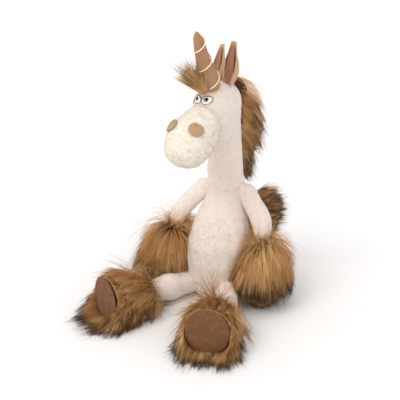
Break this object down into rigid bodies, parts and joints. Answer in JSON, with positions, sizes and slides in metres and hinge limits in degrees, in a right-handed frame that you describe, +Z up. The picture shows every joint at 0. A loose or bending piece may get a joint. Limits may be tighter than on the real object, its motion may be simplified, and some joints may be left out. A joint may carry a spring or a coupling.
{
  "type": "plush unicorn",
  "caption": "Sitting stuffed unicorn with a long neck, round muzzle, wound horn, long-haired mitts, boots and tail, and bean-weighted seat and legs.",
  "frame": {"origin": "centre of the seat on the floor", "axes": "+Z up, the toy's face and legs towards -Y, toy's left towards +X"},
  "size_m": [0.2185, 0.2829, 0.3455],
  "materials": {
    "body_plush": "short nap plush",
    "curly_plush": "short curly pile",
    "fibre_filling": "loose polyester fibre",
    "bean_filling": "plastic granules in a cloth pouch",
    "nostril_suede": "suede-like cloth",
    "eye_embroidery": "white cloth with black stitching",
    "horn_suede": "suede-like cloth",
    "horn_cord": "thin shiny cord",
    "ear_suede": "suede-like cloth",
    "ear_lining": "suede-like cloth",
    "long_fur": "long tipped faux fur",
    "tail_backing": "knitted backing",
    "sole_suede": "suede-like cloth"
  },
  "bodies": {
    "torso": {"torso_cover": "body_plush", "belly_panel": "curly_plush", "torso_stuffing": "fibre_filling", "seat_bean_pouch": "bean_filling"},
    "neck": {"neck_cover": "body_plush", "neck_stuffing": "fibre_filling", "mane_neck": "long_fur"},
    "head": {"head_cover": "body_plush", "head_stuffing": "fibre_filling", "muzzle_cover": "curly_plush", "muzzle_stuffing": "fibre_filling", "nostril_patch_left": "nostril_suede", "nostril_patch_right": "nostril_suede", "eye_left": "eye_embroidery", "eye_right": "eye_embroidery", "horn_cover": "horn_suede", "horn_stuffing": "fibre_filling", "horn_cord": "horn_cord", "forelock": "long_fur", "mane_head": "long_fur"},
    "ear_left": {"ear_left": "ear_suede", "ear_lining_left": "ear_lining"},
    "ear_right": {"ear_right": "ear_suede", "ear_lining_right": "ear_lining"},
    "arm_left": {"arm_sleeve_left": "body_plush", "arm_stuffing_left": "fibre_filling"},
    "mitt_left": {"mitt_fur_left": "long_fur", "mitt_stuffing_left": "fibre_filling"},
    "arm_right": {"arm_sleeve_right": "body_plush", "arm_stuffing_right": "fibre_filling"},
    "mitt_right": {"mitt_fur_right": "long_fur", "mitt_stuffing_right": "fibre_filling"},
    "leg_left": {"leg_cover_left": "body_plush", "leg_beans_left": "bean_filling"},
    "boot_left": {"boot_fur_left": "long_fur", "boot_stuffing_left": "fibre_filling", "sole_left": "sole_suede"},
    "leg_right": {"leg_cover_right": "body_plush", "leg_beans_right": "bean_filling"},
    "boot_right": {"boot_fur_right": "long_fur", "boot_stuffing_right": "fibre_filling", "sole_right": "sole_suede"},
    "tail": {"tail_core": "tail_backing", "tail_fur": "long_fur"}
  },
  "joints": [
    {"name": "neck_lean", "type": "hinge", "parent": "torso", "child": "neck", "pos_m": [0, 0.026, 0.126], "axis": [1, 0, 0], "range_deg": [-25, 20]},
    {"name": "head_turn", "type": "hinge", "parent": "neck", "child": "head", "pos_m": [0, 0.01796, 0.19654], "axis": [0, 0, 1], "range_deg": [-40, 40]},
    {"name": "ear_left_fold", "type": "hinge", "parent": "head", "child": "ear_left", "pos_m": [0.00776, 0.00273, 0.27594], "axis": [0.9903, -0.1392, 0], "range_deg": [-25, 20]},
    {"name": "ear_right_fold", "type": "hinge", "parent": "head", "child": "ear_right", "pos_m": [-0.01165, 0.00546, 0.27594], "axis": [0.9903, -0.1392, 0], "range_deg": [-25, 20]},
    {"name": "shoulder_left", "type": "hinge", "parent": "torso", "child": "arm_left", "pos_m": [0.0335, 0.025, 0.134], "axis": [0, -1, 0], "range_deg": [0, 85]},
    {"name": "shoulder_right", "type": "hinge", "parent": "torso", "child": "arm_right", "pos_m": [-0.0335, 0.025, 0.134], "axis": [0, 1, 0], "range_deg": [0, 85]},
    {"name": "wrist_left", "type": "hinge", "parent": "arm_left", "child": "mitt_left", "pos_m": [0.0565, 0.004, 0.089], "axis": [-1, 0, 0], "range_deg": [-20, 45]},
    {"name": "wrist_right", "type": "hinge", "parent": "arm_right", "child": "mitt_right", "pos_m": [-0.056, 0.001, 0.095], "axis": [-1, 0, 0], "range_deg": [-20, 45]},
    {"name": "hip_left", "type": "hinge", "parent": "torso", "child": "leg_left", "pos_m": [0.0278, -0.0466, 0.019], "axis": [-0.9882, -0.153, 0], "range_deg": [0, 45]},
    {"name": "hip_right", "type": "hinge", "parent": "torso", "child": "leg_right", "pos_m": [-0.0393, -0.038, 0.019], "axis": [-0.832, 0.5548, 0], "range_deg": [0, 45]},
    {"name": "knee_left", "type": "hinge", "parent": "leg_left", "child": "boot_left", "pos_m": [0.03208, -0.07427, 0.0205], "axis": [-0.9882, -0.153, 0], "range_deg": [-30, 30]},
    {"name": "knee_right", "type": "hinge", "parent": "leg_right", "child": "boot_right", "pos_m": [-0.05484, -0.06129, 0.0205], "axis": [-0.832, 0.5548, 0], "range_deg": [-30, 30]},
    {"name": "tail_swing", "type": "hinge", "parent": "torso", "child": "tail", "pos_m": [0.006, 0.0525, 0.048], "axis": [0, 0, 1], "range_deg": [-25, 70]}
  ]
}
